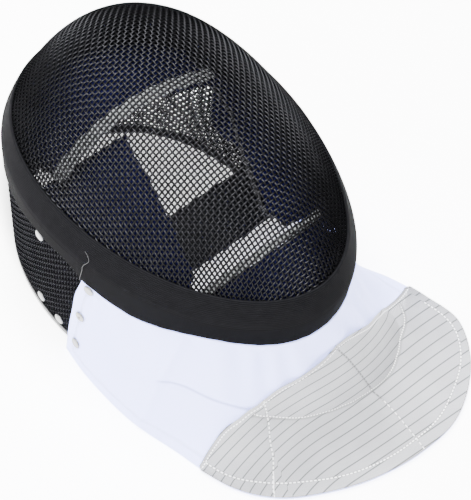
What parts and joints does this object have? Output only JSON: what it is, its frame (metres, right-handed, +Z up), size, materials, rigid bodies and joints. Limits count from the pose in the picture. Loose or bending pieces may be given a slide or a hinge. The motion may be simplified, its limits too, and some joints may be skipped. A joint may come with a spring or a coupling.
{
  "type": "fencing mask",
  "caption": "Fencing mask lying face up: domed wire face mesh, taped seam, riveted rear mesh, inner pads, elastic back strap and a white cloth bib with a silver conductive front.",
  "frame": {"origin": "Middle of the bounding box seen from above, on the surface that the mask's rear edge and its bib lie on.", "axes": "+Z is up and the face mesh looks up it. +Y runs from the bib past the chin to the crown. +X is the wearer's left."},
  "size_m": [0.2515, 0.3794, 0.208],
  "materials": {
    "black_wire": "woven steel wire with a black coating, satin",
    "bright_steel": "plain satin steel",
    "charcoal_tape": "finely ribbed woven tape, matt",
    "white_cotton": "close white drill with soft creases",
    "silver_lame": "silver conductive twill with thin dark stripes, low sheen",
    "navy_velour": "brushed pile over foam, matt",
    "black_elastic": "ribbed elastic webbing, matt",
    "pale_binding": "light grey edge binding, matt"
  },
  "bodies": {
    "root": {"face_mesh": "black_wire", "rear_mesh": "black_wire", "rear_rim": "bright_steel", "trim_band": "charcoal_tape", "bib": "white_cotton", "bib_lame": "silver_lame", "back_strap": "black_elastic", "crown_pad": "navy_velour", "crown_pad_binding": "pale_binding", "cheek_pad_right": "navy_velour", "cheek_pad_left": "navy_velour", "chin_pad": "navy_velour", "chin_pad_binding": "pale_binding", "mesh_rivet_right_1": "bright_steel", "mesh_rivet_right_2": "bright_steel", "mesh_rivet_right_3": "bright_steel", "bib_rivet_right_4": "bright_steel", "bib_rivet_right_5": "bright_steel", "bib_rivet_right_6": "bright_steel", "mesh_rivet_left_1": "bright_steel", "mesh_rivet_left_2": "bright_steel", "mesh_rivet_left_3": "bright_steel", "bib_rivet_left_4": "bright_steel", "bib_rivet_left_5": "bright_steel", "bib_rivet_left_6": "bright_steel"}
  },
  "joints": []
}
